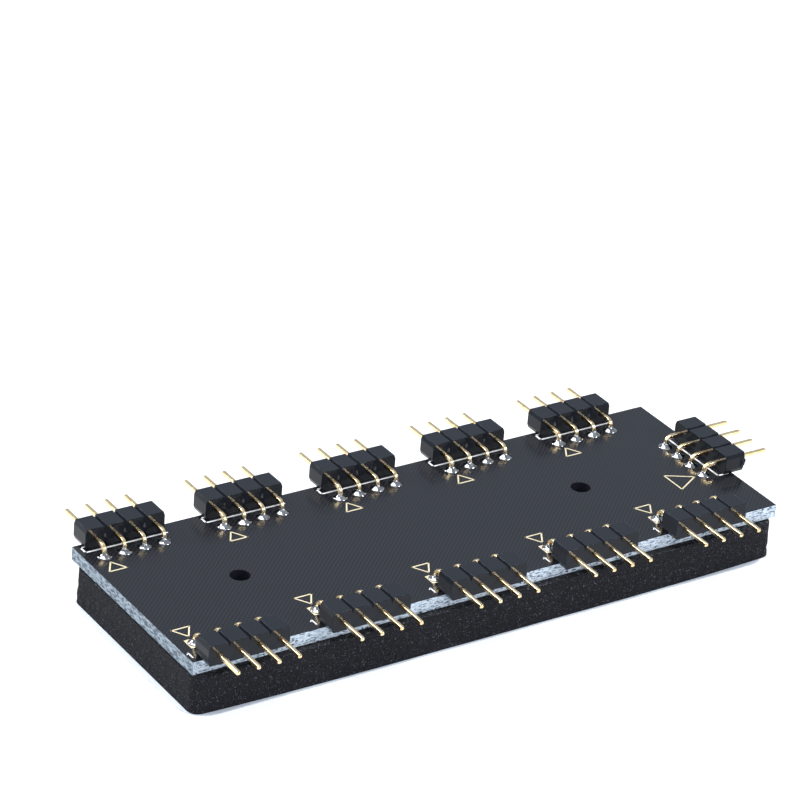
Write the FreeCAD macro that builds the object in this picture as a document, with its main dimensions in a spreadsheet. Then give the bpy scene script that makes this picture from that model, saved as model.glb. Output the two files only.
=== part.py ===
import FreeCAD, Part
import math
import os
import Sketcher

# Sizes in millimetres, and counts
sizes = {
    "pin_pitch": 2.54,
    "pins_per_header": 4,
    "pin_width": 0.45,
    "pin_free_length": 4.2,
    "pin_tip_chamfer": 0.12,
    "pin_tail_recess": 0.1,
    "pin_drill": 0.8,
    "housing_depth": 2.8,
    "housing_height": 2.5,
    "housing_seat": 1.25,
    "notch_width": 0.4,
    "notch_depth": 0.5,
    "solder_gap": 2.15,
    "solder_base": 1.7,
    "solder_top": 0.75,
    "solder_height": 0.5,
    "solder_rim": 0.06,
    "leg_clearance": 0.03,
    "headers_per_side": 5,
    "header_gap": 5.34,
    "board_start_margin": 2.25,
    "board_end_margin": 7.13,
    "board_width": 27.0,
    "board_thickness": 1.6,
    "screw_hole": 2.4,
    "screw_spacing": 46.5,
    "punch_clearance": 0.3,
    "film_thickness": 0.1,
    "foam_thickness": 4.4,
    "foam_corner": 1.2,
    "foam_left_lip": 0.2,
    "foam_front_lip": 0.9,
    "foam_right_inset": 0.85,
    "foam_back_inset": 1.25,
    "liner_thickness": 0.15,
    "liner_corner": 3.5,
    "liner_left_lip": 0.75,
    "liner_front_lip": 0.8,
    "liner_right_lip": 0.1,
    "liner_back_lip": 0.3,
}

doc = FreeCAD.newDocument("lighting_hub")
sheet = doc.addObject("Spreadsheet::Sheet", "Sizes")
for row, (alias, number) in enumerate(sizes.items(), start=1):
    sheet.set("A%d" % row, alias)
    sheet.set("B%d" % row, str(number))
    sheet.setAlias("B%d" % row, alias)
doc.recompute()


# Expression in which each size name points to its cell
def cell(words):
    return "(%s)" % " ".join("Sizes." + word if word in sizes else word for word in words.split())


# Number that an expression stands for
def value(words):
    return float(sheet.evalExpression(words))


def count(alias):
    return int(sheet.get(alias))


# Lengths that follow from the sizes
row_span = cell("( pins_per_header - 1 ) * pin_pitch")
header_pitch = cell("pins_per_header * pin_pitch + header_gap")
all_rows_span = cell("( headers_per_side - 1 ) * %s + %s" % (header_pitch, row_span))
board_length = cell("board_start_margin + %s + board_end_margin" % all_rows_span)
first_pin_x = cell("board_start_margin - %s / 2" % board_length)
screw_middle_x = cell("%s + %s / 2" % (first_pin_x, all_rows_span))
solder_inset = cell("housing_seat + solder_gap")
pin_axis_z = cell("housing_height / 2")
bend_radius = cell("( housing_height - pin_width ) / 2 - solder_height - leg_clearance")
film_z = cell("liner_thickness + foam_thickness")
board_z = cell("%s + film_thickness" % film_z)
board_top_z = cell("%s + board_thickness" % board_z)
foam_edges = (cell("0 - %s / 2 - foam_left_lip" % board_length),
              cell("%s / 2 - foam_right_inset" % board_length),
              cell("0 - board_width / 2 - foam_front_lip"),
              cell("board_width / 2 - foam_back_inset"))
liner_edges = (cell("%s - liner_left_lip" % foam_edges[0]),
               cell("%s + liner_right_lip" % foam_edges[1]),
               cell("%s - liner_front_lip" % foam_edges[2]),
               cell("%s + liner_back_lip" % foam_edges[3]))
board_edges = (cell("0 - %s / 2" % board_length), cell("%s / 2" % board_length),
               cell("0 - board_width / 2"), cell("board_width / 2"))


# Sketch on an origin plane of its own body
def sketch_on(body, role):
    sketch = body.newObject("Sketcher::SketchObject", "Sketch")
    plane = [item for item in body.Origin.OriginFeatures if item.Role == role][0]
    sketch.AttachmentSupport = [(plane, "")]
    sketch.MapMode = "FlatFace"
    return sketch


# Dimension held by an expression
def dimension(sketch, kind, elements, words):
    index = sketch.addConstraint(Sketcher.Constraint(kind, *elements, value(words)))
    sketch.setExpression("Constraints[%d]" % index, words)


# Two distances from the origin that hold one point of an element
def locate(sketch, element, point, x, y):
    dimension(sketch, "DistanceX", (-1, 1, element, point), x)
    dimension(sketch, "DistanceY", (-1, 1, element, point), y)


# Closed outline of straight lines through the corners
def polygon(sketch, corners):
    first = sketch.GeometryCount
    points = [FreeCAD.Vector(value(x), value(y), 0) for x, y in corners]
    for start, end in zip(points, points[1:] + points[:1]):
        sketch.addGeometry(Part.LineSegment(start, end))
    for step in range(len(corners)):
        following = first + (step + 1) % len(corners)
        sketch.addConstraint(Sketcher.Constraint("Coincident", first + step, 2, following, 1))
    for step, (x, y) in enumerate(corners):
        locate(sketch, first + step, 1, x, y)


def rectangle(sketch, edges):
    left, right, front, back = edges
    polygon(sketch, [(left, front), (right, front), (right, back), (left, back)])


# Small repeated outlines have six sides, which keeps the mesh light
def hexagon(sketch, across, x, y):
    flat = cell("%s / 2" % across)
    corner = cell("%s / cos(30 deg)" % flat)
    half = cell("%s / 2" % corner)
    ring = [(corner, "0"), (half, flat), ("-" + half, flat)]
    ring += [("-" + corner, "0"), ("-" + half, "-" + flat), (half, "-" + flat)]
    polygon(sketch, [(cell("%s + %s" % (x, a)), cell("%s + %s" % (y, b))) for a, b in ring])


def circle(sketch, diameter, x, y):
    centre = FreeCAD.Vector(value(x), value(y), 0)
    ring = sketch.addGeometry(Part.Circle(centre, FreeCAD.Vector(0, 0, 1), value(diameter) / 2))
    dimension(sketch, "Diameter", (ring,), diameter)
    locate(sketch, ring, 3, x, y)


def pad(body, sketch, length, side="One side", reverse=False):
    feature = body.newObject("PartDesign::Pad", "Pad")
    feature.Profile = sketch
    feature.SideType = side
    feature.Reversed = reverse
    feature.setExpression("Length", length)
    doc.recompute()
    return feature


# Cut through the whole body, which must lose volume
def pocket(body, sketch, reverse):
    before = body.Shape.Volume
    feature = body.newObject("PartDesign::Pocket", "Pocket")
    feature.Profile = sketch
    feature.Type = "ThroughAll"
    feature.Reversed = reverse
    doc.recompute()
    if feature.Shape.Volume >= before:
        raise RuntimeError("the cut in %s removes nothing" % body.Label)
    return feature


# Row of copies of a cut along the first axis of its sketch
def pattern(body, feature, spacing, number):
    row = body.newObject("PartDesign::LinearPattern", "Pattern")
    row.Originals = [feature]
    row.Direction = (feature.Profile[0], ["H_Axis"])
    row.Mode = "Spacing"
    row.setExpression("Offset", spacing)
    row.setExpression("Occurrences", number)
    body.Tip = row
    doc.recompute()


# Rotation about the vertical as a number, position as expressions
def place(part, x, y, z, turn=0):
    part.Placement = FreeCAD.Placement(FreeCAD.Vector(), FreeCAD.Rotation(turn, 0, 0))
    for axis, words in zip("xyz", (x, y, z)):
        part.setExpression("Placement.Base." + axis, words)


def new_body(label):
    return doc.addObject("PartDesign::Body", label)


# Two holes on the centre line of a flat body
def screw_holes(body, outline, across):
    sketch = sketch_on(body, "XY_Plane")
    for side in ("-", "+"):
        outline(sketch, across, cell("%s %s screw_spacing / 2" % (screw_middle_x, side)), "0")
    pocket(body, sketch, True)


# Flat sheet with rounded corners, punched below the screw holes
def make_sheet(label, edges, corner, thickness, z):
    body = new_body(label)
    sketch = sketch_on(body, "XY_Plane")
    rectangle(sketch, edges)
    plate = pad(body, sketch, thickness)
    upright = [edge.tangentAt(edge.FirstParameter) for edge in plate.Shape.Edges]
    names = ["Edge%d" % (index + 1) for index, way in enumerate(upright) if abs(way.z) > 0.9]
    fillet = body.newObject("PartDesign::Fillet", "Fillet")
    fillet.Base = (plate, names)
    fillet.setExpression("Radius", corner)
    doc.recompute()
    screw_holes(body, hexagon, cell("screw_hole + 2 * punch_clearance"))
    place(body, "0", "0", z)
    return body


# Board with drilled rows along both long edges and at the right-hand end
def make_board():
    body = new_body("board")
    outline = sketch_on(body, "XY_Plane")
    rectangle(outline, board_edges)
    pad(body, outline, cell("board_thickness"))
    for side in ("-", "+"):
        row = sketch_on(body, "XY_Plane")
        for pin in range(count("pins_per_header")):
            x = cell("%s + %d * pin_pitch" % (first_pin_x, pin))
            hexagon(row, cell("pin_drill"), x, cell("0 %s ( board_width / 2 - %s )" % (side, solder_inset)))
        pattern(body, pocket(body, row, True), header_pitch, cell("headers_per_side"))
    end = sketch_on(body, "XY_Plane")
    for pin in range(count("pins_per_header")):
        y = cell("%d * pin_pitch - %s / 2" % (pin, row_span))
        hexagon(end, cell("pin_drill"), cell("%s / 2 - %s" % (board_length, solder_inset)), y)
    pocket(body, end, True)
    screw_holes(body, circle, cell("screw_hole"))
    place(body, "0", "0", board_z)
    return body


# Notched strip of blocks with square holes, centred on the origin; the pins go through it along +Y
def make_housing(label):
    body = new_body(label)
    block = sketch_on(body, "XZ_Plane")
    ends = (cell("0 - pins_per_header * pin_pitch / 2"), cell("pins_per_header * pin_pitch / 2"))
    faces = ("0", cell("housing_height"))
    rectangle(block, ends + faces)
    pad(body, block, cell("housing_depth"), reverse=True)
    notch = sketch_on(body, "XZ_Plane")
    lips = [cell("%s %s notch_width / 2" % (ends[0], side)) for side in ("-", "+")]
    roots = (cell("notch_depth"), cell("housing_height - notch_depth"))
    for face, root in zip(faces, roots):
        polygon(notch, [(lips[0], face), (lips[1], face), (ends[0], root)])
    pattern(body, pocket(body, notch, False), cell("pin_pitch"), cell("pins_per_header + 1"))
    hole = sketch_on(body, "XZ_Plane")
    sides = [cell("0 - %s / 2 %s pin_width / 2" % (row_span, side)) for side in ("-", "+")]
    heights = [cell("%s %s pin_width / 2" % (pin_axis_z, side)) for side in ("-", "+")]
    rectangle(hole, sides + heights)
    pattern(body, pocket(body, hole, False), cell("pin_pitch"), cell("pins_per_header"))
    return body


# Square wire bent down into the board; the leg is on the origin and the tip points along +Y
def make_pin(label):
    body = new_body(label)
    sketch = sketch_on(body, "YZ_Plane")
    half = value(cell("pin_width / 2"))
    inner = value(bend_radius)
    outer = inner + 2 * half
    axis = value(pin_axis_z)
    middle = FreeCAD.Vector(half + inner, axis - half - inner, 0)
    tip = value(cell("solder_gap + housing_depth + pin_free_length"))
    tail = value(cell("pin_tail_recess - board_thickness"))
    up = FreeCAD.Vector(0, 0, 1)
    lower_tip = FreeCAD.Vector(tip, axis - half, 0)
    upper_tip = FreeCAD.Vector(tip, axis + half, 0)
    lower_bend = FreeCAD.Vector(middle.x, axis - half, 0)
    upper_bend = FreeCAD.Vector(middle.x, axis + half, 0)
    quarter = (math.pi / 2, math.pi)
    sketch.addGeometry([
        Part.LineSegment(lower_tip, upper_tip),
        Part.LineSegment(upper_tip, upper_bend),
        Part.ArcOfCircle(Part.Circle(middle, up, outer), *quarter),
        Part.LineSegment(FreeCAD.Vector(-half, middle.y, 0), FreeCAD.Vector(-half, tail, 0)),
        Part.LineSegment(FreeCAD.Vector(-half, tail, 0), FreeCAD.Vector(half, tail, 0)),
        Part.LineSegment(FreeCAD.Vector(half, tail, 0), FreeCAD.Vector(half, middle.y, 0)),
        Part.ArcOfCircle(Part.Circle(middle, up, inner), *quarter),
        Part.LineSegment(lower_bend, lower_tip),
    ])
    ties = [("Coincident", 0, 2, 1, 1), ("Tangent", 1, 2, 2, 1), ("Tangent", 2, 2, 3, 1),
            ("Coincident", 3, 2, 4, 1), ("Coincident", 4, 2, 5, 1), ("Tangent", 5, 2, 6, 2),
            ("Tangent", 6, 1, 7, 1), ("Coincident", 7, 2, 0, 1), ("Coincident", 2, 3, 6, 3),
            ("Vertical", 0), ("Horizontal", 1), ("Vertical", 3), ("Horizontal", 4),
            ("Vertical", 5), ("Horizontal", 7)]
    for tie in ties:
        sketch.addConstraint(Sketcher.Constraint(*tie))
    dimension(sketch, "DistanceY", (0, 1, 0, 2), cell("pin_width"))
    dimension(sketch, "Radius", (6,), bend_radius)
    locate(sketch, 0, 1, cell("solder_gap + housing_depth + pin_free_length"),
           cell("%s - pin_width / 2" % pin_axis_z))
    locate(sketch, 4, 2, cell("pin_width / 2"), cell("pin_tail_recess - board_thickness"))
    wire = pad(body, sketch, cell("pin_width"), side="Symmetric")
    far = max(range(len(wire.Shape.Faces)), key=lambda face: wire.Shape.Faces[face].CenterOfMass.y)
    chamfer = body.newObject("PartDesign::Chamfer", "Chamfer")
    chamfer.Base = (wire, ["Face%d" % (far + 1)])
    chamfer.setExpression("Size", cell("pin_tip_chamfer"))
    doc.recompute()
    return body


# Joint that narrows from its pad up to the leg of its pin, which goes through a square hole
def make_joint():
    body = new_body("joint")
    foot = sketch_on(body, "XY_Plane")
    hexagon(foot, cell("solder_base"), "0", "0")
    block = pad(body, foot, cell("solder_height"))
    top = max(range(len(block.Shape.Faces)), key=lambda face: block.Shape.Faces[face].CenterOfMass.z)
    slope = body.newObject("PartDesign::Chamfer", "Chamfer")
    slope.Base = (block, ["Face%d" % (top + 1)])
    slope.ChamferType = "Two distances"
    slope.FlipDirection = True
    slope.setExpression("Size", cell("( solder_base - solder_top ) / 2"))
    slope.setExpression("Size2", cell("solder_height - solder_rim"))
    doc.recompute()
    leg = sketch_on(body, "XY_Plane")
    half = cell("pin_width / 2")
    rectangle(leg, ("-" + half, half, "-" + half, half))
    pocket(body, leg, True)
    return body


# Header with the middle of its solder row at x, y; its pins point outwards and are numbered along the row
def make_header(name, x, y, turn, outwards, along):
    housing = make_housing("housing_" + name)
    place(housing, cell("%s + %d * solder_gap" % (x, outwards[0])),
          cell("%s + %d * solder_gap" % (y, outwards[1])), board_top_z, turn)
    parts.append(housing)
    for pin in range(count("pins_per_header")):
        offset = cell("%d * pin_pitch - %s / 2" % (pin, row_span))
        pin_x = cell("%s + %d * %s" % (x, along[0], offset))
        pin_y = cell("%s + %d * %s" % (y, along[1], offset))
        wire = make_pin("pin_%s_%d" % (name, pin + 1))
        link = doc.addObject("App::Link", "Link")
        link.LinkedObject = joint
        for item in (wire, link):
            place(item, pin_x, pin_y, board_top_z, turn)
        parts.append(wire)
        links.append(link)


parts = [
    make_sheet("release_liner", liner_edges, cell("liner_corner"), cell("liner_thickness"), "0"),
    make_sheet("foam_pad", foam_edges, cell("foam_corner"), cell("foam_thickness"), cell("liner_thickness")),
    make_sheet("adhesive_film", foam_edges, cell("foam_corner"), cell("film_thickness"), film_z),
    make_board(),
]
joint = make_joint()
links = []
row_y = cell("board_width / 2 - %s" % solder_inset)
for header in range(count("headers_per_side")):
    middle_x = cell("%s + %d * %s + %s / 2" % (first_pin_x, header, header_pitch, row_span))
    make_header("back_%d" % (header + 1), middle_x, row_y, 0, (0, 1), (1, 0))
    make_header("front_%d" % (header + 1), middle_x, cell("0 - %s" % row_y), 180, (0, -1), (1, 0))
end_x = cell("%s / 2 - %s" % (board_length, solder_inset))
make_header("end", end_x, "0", -90, (1, 0), (0, 1))

group = doc.addObject("Part::Compound", "solder_joints")
group.Links = links
parts.append(group)
doc.recompute()

for item in doc.Objects:
    if "Invalid" in item.State or "Error" in item.State:
        raise RuntimeError("%s: %s" % (item.Name, item.State))
os.makedirs("parts", exist_ok=True)
for part in parts:
    if part.Shape.isNull() or not part.Shape.isValid():
        raise RuntimeError("%s has no valid shape" % part.Label)
    part.Shape.exportStep("parts/%s.step" % part.Label)
print("%d parts written" % len(parts))
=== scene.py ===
import math
import random
import bmesh
import bpy
from mathutils import Matrix, Vector, noise


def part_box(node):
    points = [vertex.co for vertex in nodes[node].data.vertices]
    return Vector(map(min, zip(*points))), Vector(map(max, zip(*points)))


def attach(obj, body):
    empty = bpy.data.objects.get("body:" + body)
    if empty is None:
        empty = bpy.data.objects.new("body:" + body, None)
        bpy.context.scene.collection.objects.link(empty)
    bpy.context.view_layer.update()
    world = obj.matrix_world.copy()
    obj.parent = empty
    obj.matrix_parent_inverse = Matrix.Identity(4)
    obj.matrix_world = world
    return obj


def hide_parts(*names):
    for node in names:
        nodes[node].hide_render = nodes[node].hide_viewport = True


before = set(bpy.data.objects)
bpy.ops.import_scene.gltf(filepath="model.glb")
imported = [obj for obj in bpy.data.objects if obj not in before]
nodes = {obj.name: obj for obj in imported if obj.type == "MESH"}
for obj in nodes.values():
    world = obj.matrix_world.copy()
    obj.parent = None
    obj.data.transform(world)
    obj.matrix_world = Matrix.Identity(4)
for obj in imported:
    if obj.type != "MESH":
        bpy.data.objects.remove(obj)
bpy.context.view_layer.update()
mm = 0.001
mergeGap = 0.0005 * mm  # corners closer than this are one
collection = bpy.context.scene.collection
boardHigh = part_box("board")[1]
boardTop = boardHigh.z


# A value is set on the socket, and an output of another node is linked to it
def setInputs(node, **values):
    for name, value in values.items():
        socket = node.inputs[name.replace("_", " ")]
        if isinstance(value, bpy.types.NodeSocket):
            node.id_data.links.new(value, socket)
        else:
            socket.default_value = value


def emptyMaterial(name):
    material = bpy.data.materials.new(name)
    material.use_nodes = True
    tree = material.node_tree
    tree.nodes.clear()
    output = tree.nodes.new("ShaderNodeOutputMaterial")
    return material, tree, output


def newMaterial(name):
    material, tree, output = emptyMaterial(name)
    shader = tree.nodes.new("ShaderNodeBsdfPrincipled")
    setInputs(output, Surface=shader.outputs["BSDF"])
    return material, tree, shader


# Object coordinates in millimetres, stretched along each axis
def coordinates(tree, stretch=(1, 1, 1)):
    texture = tree.nodes.new("ShaderNodeTexCoord")
    mapping = tree.nodes.new("ShaderNodeMapping")
    setInputs(mapping, Vector=texture.outputs["Object"], Scale=tuple(value / mm for value in stretch))
    return mapping.outputs["Vector"]


def noiseTexture(tree, vector, scale, detail=2.0):
    texture = tree.nodes.new("ShaderNodeTexNoise")
    setInputs(texture, Vector=vector, Scale=scale, Detail=detail)
    return texture.outputs["Fac"]


def ramp(tree, value, stops):
    node = tree.nodes.new("ShaderNodeValToRGB")
    elements = node.color_ramp.elements
    while len(elements) < len(stops):
        elements.new(0.5)
    for element, (position, color) in zip(elements, stops):
        element.position = position
        element.color = color
    setInputs(node, Fac=value)
    return node.outputs["Color"]


def grey(tone):
    return (tone, tone, tone, 1)


def mathNode(tree, operation, first, second=0):
    node = tree.nodes.new("ShaderNodeMath")
    node.operation = operation
    for socket, value in zip(node.inputs, (first, second)):
        if isinstance(value, bpy.types.NodeSocket):
            tree.links.new(value, socket)
        else:
            socket.default_value = value
    return node.outputs[0]


def mixColor(tree, factor, first, second):
    node = tree.nodes.new("ShaderNodeMixRGB")
    setInputs(node, Fac=factor, Color1=first, Color2=second)
    return node.outputs[0]


def addBump(tree, shader, height, strength, distance):
    bump = tree.nodes.new("ShaderNodeBump")
    setInputs(bump, Height=height, Strength=strength, Distance=distance)
    setInputs(shader, Normal=bump.outputs["Normal"])


def splitVector(tree, vector):
    node = tree.nodes.new("ShaderNodeSeparateXYZ")
    setInputs(node, Vector=vector)
    return node.outputs


def paint(obj, material):
    obj.data.materials.clear()
    obj.data.materials.append(material)


def newObject(name, bm, material):
    mesh = bpy.data.meshes.new(name)
    bm.normal_update()
    bm.to_mesh(mesh)
    bm.free()
    obj = bpy.data.objects.new(name, mesh)
    collection.objects.link(obj)
    paint(obj, material)
    return obj


def newPiece(name, bm, material, smooth=False):
    obj = newObject(name, bm, material)
    if smooth:
        obj.data.shade_smooth()
    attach(obj, "root")
    return obj


# Camera
view = {"azimuth": 35.118, "elevation": 27.665, "roll": 4.821, "distance": 440.597 * mm,
        "target": Vector((13.264, 27.492, 6.25)) * mm, "lens": 162.69, "sensor": 36.0, "nearClip": 10 * mm}
turn = math.radians(view["azimuth"])
tilt = math.radians(view["elevation"])
lean = math.radians(view["roll"])
forward = Vector((math.sin(turn) * math.cos(tilt), math.cos(turn) * math.cos(tilt), -math.sin(tilt)))
level = Vector((math.cos(turn), -math.sin(turn), 0))
upright = level.cross(forward)
sideways = math.cos(lean) * level + math.sin(lean) * upright
upwards = math.cos(lean) * upright - math.sin(lean) * level
cameraData = bpy.data.cameras.new("camera")
cameraData.lens = view["lens"]
cameraData.sensor_width = view["sensor"]
cameraData.clip_start = view["nearClip"]
camera = bpy.data.objects.new("camera", cameraData)
facing = Matrix((sideways, upwards, -forward)).transposed().to_4x4()
camera.matrix_world = Matrix.Translation(view["target"] - view["distance"] * forward) @ facing
collection.objects.link(camera)
bpy.context.scene.camera = camera
print("camera set")


# Board: glossy black mask over a diagonal weave, pale glass-fibre edges, dark hole walls
def boardMaterial():
    look = {"dark": (0.003, 0.003, 0.004, 1), "light": (0.016, 0.017, 0.021, 1),
            "wall": (0.02, 0.021, 0.028, 1), "rough": 0.2, "edgeRough": 0.6, "shine": 0.32,
            "weave": 0.76, "weaveBend": 0.9, "weaveAngles": (48, -42), "weaveShares": (0.88, 0.72),
            "bump": 0.1, "bumpDepth": 0.04 * mm, "rim": 0.05, "upright": 0.5, "speckLift": 0.05,
            "streakStretch": (1.0, 1.6, 5.0), "streakScale": 1.2,
            "speckStretch": (1.9, 1.2, 3.2), "speckScale": 1.3,
            "edge": [(0.36, (0.03, 0.04, 0.06, 1)), (0.42, (0.44, 0.53, 0.63, 1)),
                     (0.54, (0.78, 0.87, 0.96, 1))],
            # end tones: the edge tones darkened, as painted shade on the board's ends
            "end": [(0.38, (0.08, 0.1, 0.12, 1)), (0.47, (0.2, 0.25, 0.3, 1)),
                    (0.57, (0.4, 0.47, 0.53, 1))]}
    material, tree, shader = newMaterial("solder_mask")
    vector = coordinates(tree)
    waves = []
    for angle, share in zip(look["weaveAngles"], look["weaveShares"]):
        mapping = tree.nodes.new("ShaderNodeMapping")
        setInputs(mapping, Vector=vector, Rotation=(0, 0, math.radians(angle)))
        wave = tree.nodes.new("ShaderNodeTexWave")
        setInputs(wave, Vector=mapping.outputs["Vector"], Scale=look["weave"], Distortion=look["weaveBend"],
                  Detail=1.0, Detail_Scale=0.5)
        waves.append(mathNode(tree, "MULTIPLY", wave.outputs["Fac"], share))
    weave = mathNode(tree, "ADD", waves[0], waves[1])
    maskColor = ramp(tree, weave, [(0.1, look["dark"]), (1.0, look["light"])])

    # the long edges show streaks and specks; the two ends show only streaks, in darker tones that are painted
    # shade
    streaks = noiseTexture(tree, coordinates(tree, look["streakStretch"]), look["streakScale"], 3.0)
    specks = noiseTexture(tree, coordinates(tree, look["speckStretch"]), look["speckScale"], 1.0)
    fibre = mathNode(tree, "MINIMUM", streaks, mathNode(tree, "ADD", specks, look["speckLift"]))
    edgeColor = ramp(tree, fibre, look["edge"])
    shadedEndColor = ramp(tree, streaks, look["end"])

    # walls are the upright faces, and those at the rim are the cut edges
    geometry = tree.nodes.new("ShaderNodeNewGeometry")
    normal = splitVector(tree, geometry.outputs["True Normal"])
    wall = mathNode(tree, "LESS_THAN", mathNode(tree, "ABSOLUTE", normal["Z"]), look["upright"])
    place = splitVector(tree, vector)
    rims = {}
    for axis, reach in (("X", boardHigh.x), ("Y", boardHigh.y)):
        outwards = mathNode(tree, "ABSOLUTE", place[axis])
        rims[axis] = mathNode(tree, "GREATER_THAN", outwards, reach / mm - look["rim"])
    edge = mathNode(tree, "MULTIPLY", wall, mathNode(tree, "MAXIMUM", rims["X"], rims["Y"]))
    faceColor = mixColor(tree, wall, maskColor, look["wall"])
    # the ends take the darker copy of the edge colours, which is painted shade
    rimColor = mixColor(tree, rims["X"], edgeColor, shadedEndColor)
    roughness = ramp(tree, edge, [(0.0, grey(look["rough"])), (1.0, grey(look["edgeRough"]))])
    setInputs(shader, Base_Color=mixColor(tree, edge, faceColor, rimColor), Roughness=roughness,
              Specular_IOR_Level=look["shine"])
    height = mathNode(tree, "MULTIPLY", weave, mathNode(tree, "SUBTRACT", 1.0, edge))
    addBump(tree, shader, height, look["bump"], look["bumpDepth"])
    return material


# Header plastic, moulded smooth or rough where a row was snapped off
def plasticMaterial(name, smoothest, roughest):
    look = {"color": (0.0165, 0.019, 0.0245, 1), "shine": 0.14, "patches": 0.5, "grain": 5.0,
            "bump": 0.015, "bumpDepth": 0.02 * mm}
    material, tree, shader = newMaterial(name)
    patches = noiseTexture(tree, coordinates(tree), look["patches"], 3.0)
    roughness = ramp(tree, patches, [(0.3, grey(smoothest)), (0.7, grey(roughest))])
    setInputs(shader, Base_Color=look["color"], Roughness=roughness, Specular_IOR_Level=look["shine"])
    grain = noiseTexture(tree, coordinates(tree), look["grain"])
    addBump(tree, shader, grain, look["bump"], look["bumpDepth"])
    return material


def metalMaterial(name, look):
    material, tree, shader = newMaterial(name)
    cloud = noiseTexture(tree, coordinates(tree), look["grain"])
    setInputs(shader, Base_Color=ramp(tree, cloud, [(0.35, look["low"]), (0.65, look["high"])]),
              Metallic=look["metallic"], Roughness=look["rough"])
    return material


# Black foam with darker pores and pale specks
def foamMaterial():
    look = {"pore": (0.002, 0.002, 0.003, 1), "body": (0.013, 0.013, 0.018, 1),
            "speck": (0.13, 0.13, 0.155, 1), "grain": 7.0, "specks": 6.5, "rough": 0.85, "shine": 0.25,
            "bump": 0.8, "bumpDepth": 0.08 * mm}
    material, tree, shader = newMaterial("foam")
    vector = coordinates(tree)
    grain = noiseTexture(tree, vector, look["grain"])
    body = ramp(tree, grain, [(0.35, look["pore"]), (0.62, look["body"])])
    specks = ramp(tree, noiseTexture(tree, vector, look["specks"], 1.0), [(0.63, grey(0)), (0.76, grey(1))])
    setInputs(shader, Base_Color=mixColor(tree, specks, body, look["speck"]), Roughness=look["rough"],
              Specular_IOR_Level=look["shine"])
    addBump(tree, shader, grain, look["bump"], look["bumpDepth"])
    return material


# Clear film with pale patches painted in as glints
def filmMaterial():
    look = {"color": (0.8, 0.85, 0.86, 1), "smoothest": 0.06, "roughest": 0.22, "cloud": 0.8,
            "patches": 2.6, "clearest": 0.01, "paintedGlint": 0.16}
    material, tree, shader = newMaterial("clear_film")
    cloud = noiseTexture(tree, coordinates(tree), look["cloud"])
    roughness = ramp(tree, cloud, [(0.3, grey(look["smoothest"])), (0.7, grey(look["roughest"]))])
    patches = noiseTexture(tree, coordinates(tree), look["patches"], 1.0)
    # where the noise is high the film turns less clear and shows its pale colour, a painted highlight
    alpha = ramp(tree, patches, [(0.6, grey(look["clearest"])), (0.74, grey(look["paintedGlint"]))])
    setInputs(shader, Base_Color=look["color"], Roughness=roughness, Alpha=alpha)
    return material


# Paper and ink: a pale colour that wanders a little
def paleMaterial(name, look):
    material, tree, shader = newMaterial(name)
    cloud = noiseTexture(tree, coordinates(tree), look["cloud"])
    setInputs(shader, Base_Color=ramp(tree, cloud, [(0.3, look["low"]), (0.7, look["high"])]),
              Roughness=look["rough"])
    return material


metals = {
    "pin_gold": {"low": (0.97, 0.69, 0.35, 1), "high": (1.0, 0.84, 0.55, 1), "rough": 0.2, "grain": 1.5,
                 "metallic": 1.0},
    "solder": {"low": (0.26, 0.26, 0.27, 1), "high": (0.56, 0.55, 0.54, 1), "rough": 0.09, "grain": 2.5,
               "metallic": 1.0},
    "pad_gold": {"low": (0.86, 0.72, 0.44, 1), "high": (0.98, 0.86, 0.6, 1), "rough": 0.4, "grain": 3.0,
                 "metallic": 0.4},
}
liner = {"low": (0.76, 0.81, 0.88, 1), "high": (0.84, 0.88, 0.94, 1), "rough": 0.45, "cloud": 0.25}
whitePrint = {"low": grey(0.86), "high": grey(0.95), "rough": 0.5, "cloud": 3.0}
plasticRough = {"moulded": (0.03, 0.08), "snapped": (0.4, 0.6)}

plastic = plasticMaterial("header_plastic", *plasticRough["moulded"])
dullPlastic = plasticMaterial("snapped_plastic", *plasticRough["snapped"])
gold, tin, padGold = [metalMaterial(name, look) for name, look in metals.items()]
foamLook = foamMaterial()
ink = paleMaterial("white_print", whitePrint)
paint(nodes["board"], boardMaterial())
paint(nodes["adhesive_film"], filmMaterial())
paint(nodes["release_liner"], paleMaterial("liner_paper", liner))
print("materials set")


# Rounded copy of a hard CAD node
edgeRound = {"housing": 0.05 * mm, "pin": 0.08 * mm, "segments": 3, "flat": math.radians(1),
             "sharp": math.radians(25)}


def roundedCopy(node, width, material):
    bm = bmesh.new()
    bm.from_mesh(nodes[node].data)
    bmesh.ops.remove_doubles(bm, verts=bm.verts, dist=mergeGap)
    bmesh.ops.dissolve_limit(bm, angle_limit=edgeRound["flat"], verts=bm.verts, edges=bm.edges)
    sharp = [edge for edge in bm.edges if edge.is_manifold and edge.calc_face_angle() > edgeRound["sharp"]]
    for face in bm.faces:
        face.smooth = False
    rounded = bmesh.ops.bevel(bm, geom=sharp, offset=width, affect="EDGES", segments=edgeRound["segments"],
                              profile=0.5, material=-1, clamp_overlap=True)
    for face in rounded["faces"]:
        face.smooth = True
    paint(nodes[node], material)
    piece = newPiece("round_" + node, bm, material)
    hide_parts(node)


housings = [name for name in nodes if name.startswith("housing_")]
pins = [name for name in nodes if name.startswith("pin_")]
for name in housings:
    roundedCopy(name, edgeRound["housing"], plastic)
for name in pins:
    roundedCopy(name, edgeRound["pin"], gold)
print("headers rounded")

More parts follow.
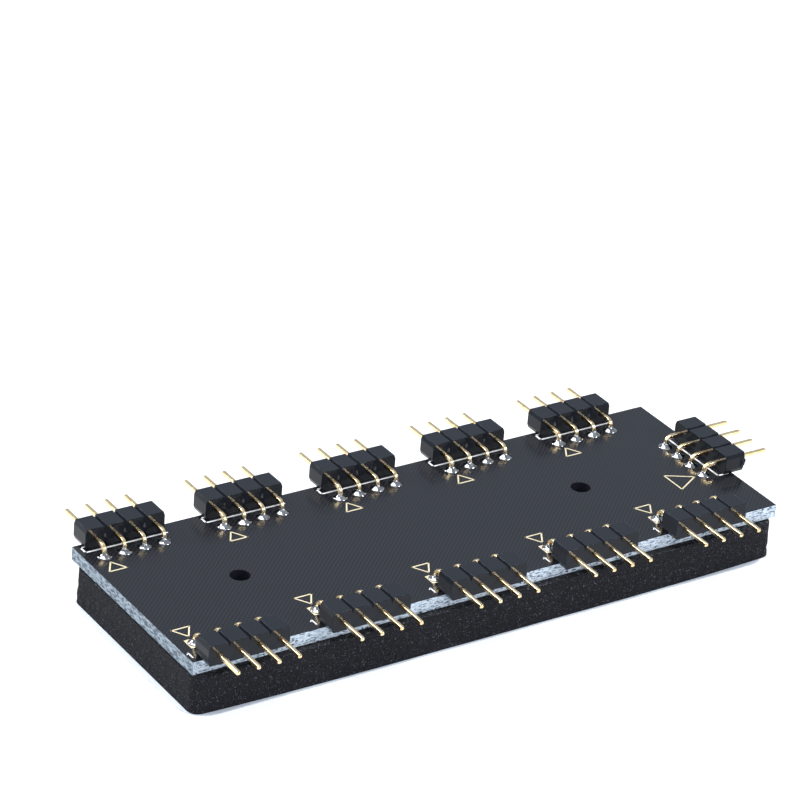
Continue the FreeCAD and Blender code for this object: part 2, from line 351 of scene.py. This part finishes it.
# Low rough lump where each row was snapped off a longer strip
burr = {"out": 0.1 * mm, "deep": 0.9 * mm, "tall": 1.5 * mm, "inset": 0.3 * mm,
        "rough": 0.16 * mm, "grain": 0.3 * mm, "levels": 3, "seed": 5}
noise.seed_set(burr["seed"])
bm = bmesh.new()
for name in housings:
    low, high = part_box(name)
    middle = (low + high) / 2
    if name == "housing_end":
        middle.x = high.x - burr["inset"]
        middle.y = low.y
        size = Vector((burr["deep"], 2 * burr["out"], burr["tall"]))
    else:
        middle.x = high.x
        size = Vector((2 * burr["out"], burr["deep"], burr["tall"]))
    lump = bmesh.ops.create_icosphere(bm, subdivisions=burr["levels"], radius=0.5)
    for vert in lump["verts"]:
        vert.co = middle + vert.co * size
        vert.co += noise.noise_vector(vert.co / burr["grain"]) * burr["rough"]
newPiece("snap_burrs", bm, dullPlastic)
print("burrs made")


# Place of a pin's upright leg: half its wire in from the inner end
def legPlace(name):
    low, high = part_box(name)
    middle = (low + high) / 2
    if name.startswith("pin_end"):
        return Vector((low.x + (high.y - low.y) / 2, middle.y))
    half = (high.x - low.x) / 2
    return Vector((middle.x, low.y + half if name.startswith("pin_back") else high.y - half))


# Solder: a concave cone spun round each leg, a little different each time
solder = {"foot": 0.88 * mm, "footVary": 0.06, "neck": 0.26 * mm, "height": 0.56 * mm, "heightVary": 0.12,
          "lip": 0.03 * mm, "hollow": 1.7, "lean": 0.06 * mm, "rings": 8, "sides": 24, "seed": 7}
dice = random.Random(solder["seed"])
legs = {name: legPlace(name) for name in pins}
bm = bmesh.new()
for leg in legs.values():
    foot = solder["foot"] * (1 + dice.uniform(-1, 1) * solder["footVary"])
    height = solder["height"] * (1 + dice.uniform(-1, 1) * solder["heightVary"])
    profile = [(0, 0), (foot, 0)]
    for ring in range(solder["rings"]):
        share = ring / (solder["rings"] - 1)
        radius = solder["neck"] + (foot - solder["neck"]) * (1 - share) ** solder["hollow"]
        profile.append((radius, solder["lip"] + (height - solder["lip"]) * share))
    profile.append((0, height))
    centre = Vector((leg.x, leg.y, boardTop))
    first = len(bm.verts)
    verts = [bm.verts.new(centre + Vector((radius, 0, z))) for radius, z in profile]
    edges = [bm.edges.new(pair) for pair in zip(verts, verts[1:])]
    bmesh.ops.spin(bm, geom=verts + edges, cent=centre, axis=(0, 0, 1), angle=math.tau,
                   steps=solder["sides"], use_merge=True)
    leaning = Matrix.Identity(4)
    leaning[0][2] = dice.uniform(-1, 1) * solder["lean"] / height
    leaning[1][2] = dice.uniform(-1, 1) * solder["lean"] / height
    bm.verts.ensure_lookup_table()
    bmesh.ops.transform(bm, matrix=leaning, space=Matrix.Translation(-centre), verts=bm.verts[first:])
bmesh.ops.remove_doubles(bm, verts=bm.verts, dist=mergeGap)
bmesh.ops.recalc_face_normals(bm, faces=bm.faces)
piece = newPiece("solder_fillets", bm, tin, smooth=True)
paint(nodes["solder_joints"], tin)
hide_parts("solder_joints")
print("solder made")

# Marks on the board's top, in millimetres
marks = {"height": 0.02, "goldLine": 0.17, "inkLine": 0.23,
         "arrowTip": 8.7, "arrowBase": 6.9, "arrowHalf": 1.1,
         "endArrowTip": 34.75, "endArrowBase": 31.55, "endArrowHalf": 1.8,
         "outline": 11.7, "outlineRear": 12.85, "outlineLeft": 1.5, "outlineRight": 1.27, "outlineHook": 0.45,
         "endOutline": 37.53, "endOutlineHalf": 4.8, "endOutlineRear": 38.9,
         "padWidth": 1.7, "padStretch": 0.1,
         "number": 1.75, "numberTop": -11.6, "numberFoot": -12.6, "numberLine": 0.17,
         "flag": 0.25, "flagLine": 0.136}


# Flat strip between two points
def strip(bm, start, end, width):
    start, end = Vector(start), Vector(end)
    along = end - start
    size = Matrix.Diagonal((along.length + width, width, marks["height"], 1))
    turned = Matrix.Rotation(math.atan2(along.y, along.x), 4, "Z")
    middle = (start + end) / 2
    where = Matrix.Translation((middle.x, middle.y, boardTop / mm + marks["height"] / 2))
    bmesh.ops.create_cube(bm, size=1, matrix=Matrix.Scale(mm, 4) @ where @ turned @ size)


def strips(bm, points, width):
    for start, end in zip(points, points[1:]):
        strip(bm, start, end, width)


arrows, outlines, pads = bmesh.new(), bmesh.new(), bmesh.new()
firstPins = [name for name in pins if name.endswith("_1") and not name.startswith("pin_end")]
for name in firstPins:
    pin = legs[name] / mm
    lastPin = legs[name[:-1] + "4"] / mm
    sign = 1 if name.startswith("pin_back") else -1
    tip = (pin.x, sign * marks["arrowTip"])
    left = (pin.x - marks["arrowHalf"], sign * marks["arrowBase"])
    right = (pin.x + marks["arrowHalf"], sign * marks["arrowBase"])
    strips(arrows, (tip, left, right, tip), marks["goldLine"])
    if sign > 0:
        corner = (pin.x - marks["outlineLeft"], marks["outline"])
        stop = (lastPin.x + marks["outlineRight"], marks["outline"])
        rear = (corner[0], marks["outlineRear"])
        hook = (rear[0] + marks["outlineHook"], marks["outlineRear"])
        strips(outlines, (stop, corner, rear, hook), marks["inkLine"])
    else:
        padLeft = (pin.x - marks["padStretch"], pin.y)
        padRight = (pin.x + marks["padStretch"], pin.y)
        strip(pads, padLeft, padRight, marks["padWidth"])
        foot = (pin.x - marks["number"], marks["numberFoot"])
        top = (pin.x - marks["number"], marks["numberTop"])
        strip(outlines, foot, top, marks["numberLine"])
        strip(outlines, top, (top[0] - marks["flag"], top[1] - marks["flag"]), marks["flagLine"])
endPin = legs["pin_end_1"] / mm
tip = (marks["endArrowTip"], endPin.y)
left = (marks["endArrowBase"], endPin.y - marks["endArrowHalf"])
right = (marks["endArrowBase"], endPin.y + marks["endArrowHalf"])
strips(arrows, (tip, left, right, tip), marks["goldLine"])
far = (marks["endOutline"], marks["endOutlineHalf"])
near = (marks["endOutline"], -marks["endOutlineHalf"])
strips(outlines, (far, near, (marks["endOutlineRear"], near[1])), marks["inkLine"])
newPiece("pin_arrows", arrows, padGold)
newPiece("outline_print", outlines, ink)
newPiece("square_pads", pads, padGold)
print("marks made")

# Foam pad: cut faces that bulge towards the foot, most at the front
foam = {"corner": 1.2 * mm, "cornerSteps": 6, "rows": 12, "step": 0.45 * mm, "rough": 0.09 * mm,
        "grain": 0.9 * mm, "flare": 0.12 * mm, "flarePower": 2, "frontFlare": 0.55 * mm, "frontPower": 1.5,
        "frontBow": 4, "frontBand": 0.6 * mm, "endShare": 0.93, "sideShare": 0.8, "rimShare": 0.01}
foamLow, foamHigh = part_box("foam_pad")
middle = (foamLow + foamHigh) / 2
extent = foamHigh - foamLow
bm = bmesh.new()
bmesh.ops.create_grid(bm, x_segments=1, y_segments=1, size=0.5)
bmesh.ops.scale(bm, vec=extent, verts=bm.verts)
bmesh.ops.translate(bm, vec=(middle.x, middle.y, foamHigh.z), verts=bm.verts)
bmesh.ops.bevel(bm, geom=list(bm.verts), offset=foam["corner"], affect="VERTICES",
                segments=foam["cornerSteps"], profile=0.5, material=-1)
for edge in list(bm.edges):
    length = edge.calc_length()
    if length > foam["corner"]:
        bmesh.ops.subdivide_edges(bm, edges=[edge], cuts=int(length / foam["step"]) - 1)
rim = list(bm.edges)
for row in range(foam["rows"]):
    made = bmesh.ops.extrude_edge_only(bm, edges=rim)["geom"]
    rim = [item for item in made if isinstance(item, bmesh.types.BMEdge)]
    lowered = [item for item in made if isinstance(item, bmesh.types.BMVert)]
    bmesh.ops.translate(bm, vec=(0, 0, -extent.z / foam["rows"]), verts=lowered)
bmesh.ops.contextual_create(bm, geom=rim)
bmesh.ops.recalc_face_normals(bm, faces=bm.faces)
for vert in bm.verts:
    share = (foamHigh.z - vert.co.z) / extent.z
    fromMiddle = vert.co - middle
    alongX = 2 * fromMiddle.x / extent.x
    alongY = 2 * fromMiddle.y / extent.y
    push = foam["flare"] * share ** foam["flarePower"]
    if foam["rimShare"] < share < 1 - foam["rimShare"]:
        push += noise.noise(vert.co / foam["grain"]) * foam["rough"]
    drop = 0
    if vert.co.y < foamLow.y + foam["frontBand"]:
        drop = foam["frontFlare"] * max(0, 1 - alongX ** foam["frontBow"]) * share ** foam["frontPower"]
    if abs(alongX) > foam["endShare"]:
        vert.co.x += math.copysign(push, alongX)
    if abs(alongY) > foam["sideShare"]:
        vert.co.y += math.copysign(push, alongY)
    vert.co.y -= drop
pad = newPiece("foam_block", bm, foamLook)
paint(nodes["foam_pad"], foamLook)
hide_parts("foam_pad")
print("foam made")

# Studio
studio = {"sky": (0.46, 0.52, 0.61, 1), "skyStrength": 1.0, "floorHalf": 4.0, "floorDrop": 0.02 * mm,
          "floorTone": 0.8, "shownTone": 0.42, "shownGlow": 0.72}
world = bpy.data.worlds.new("studio")
world.use_nodes = True
bpy.context.scene.world = world
tree = world.node_tree
tree.nodes.clear()
output = tree.nodes.new("ShaderNodeOutputWorld")
ambient = tree.nodes.new("ShaderNodeBackground")
setInputs(ambient, Color=studio["sky"], Strength=studio["skyStrength"])
setInputs(output, Surface=ambient.outputs[0])


# Floor that shows white and keeps the shadow
def floorMaterial():
    material, tree, output = emptyMaterial("floor")
    pale = tree.nodes.new("ShaderNodeBsdfDiffuse")
    setInputs(pale, Color=grey(studio["floorTone"]))
    glow = tree.nodes.new("ShaderNodeEmission")
    setInputs(glow, Color=grey(1), Strength=studio["shownGlow"])
    shade = tree.nodes.new("ShaderNodeBsdfDiffuse")
    setInputs(shade, Color=grey(studio["shownTone"]))
    shown = tree.nodes.new("ShaderNodeAddShader")
    tree.links.new(glow.outputs[0], shown.inputs[0])
    tree.links.new(shade.outputs[0], shown.inputs[1])
    path = tree.nodes.new("ShaderNodeLightPath").outputs
    mirrored = mathNode(tree, "MAXIMUM", path["Is Glossy Ray"], path["Is Transmission Ray"])
    mix = tree.nodes.new("ShaderNodeMixShader")
    setInputs(mix, Fac=mathNode(tree, "MAXIMUM", path["Is Camera Ray"], mirrored))
    tree.links.new(pale.outputs[0], mix.inputs[1])
    tree.links.new(shown.outputs[0], mix.inputs[2])
    setInputs(output, Surface=mix.outputs[0])
    return material


bm = bmesh.new()
bmesh.ops.create_grid(bm, x_segments=1, y_segments=1, size=studio["floorHalf"])
bmesh.ops.translate(bm, vec=(0, 0, -studio["floorDrop"]), verts=bm.verts)
floor = newObject("floor", bm, floorMaterial())

# Lamps, in millimetres
lamps = {
    "top": {"place": (-60, 120, 420), "aim": (0, 0, 5), "size": (300, 300), "watts": 2.2},
    "rim": {"place": (-260, 430, 300), "aim": (0, 0, 5), "size": (160, 160), "watts": 0.9},
    "front": {"place": (-135, -340, 322), "aim": (0, 0, 5), "size": (70, 70), "watts": 0.15},
    "side": {"place": (247, -346, 250), "aim": (0, -16, 7), "size": (180, 30), "watts": 0.75},
}
for name, values in lamps.items():
    lampData = bpy.data.lights.new(name, "AREA")
    lampData.shape = "RECTANGLE"
    lampData.size = values["size"][0] * mm
    lampData.size_y = values["size"][1] * mm
    lampData.energy = values["watts"]
    lamp = bpy.data.objects.new(name, lampData)
    place = Vector(values["place"]) * mm
    aim = (Vector(values["aim"]) * mm - place).to_track_quat("-Z", "Y")
    lamp.matrix_world = Matrix.Translation(place) @ aim.to_matrix().to_4x4()
    collection.objects.link(lamp)
bpy.context.scene.view_settings.view_transform = "Standard"
print("studio set")
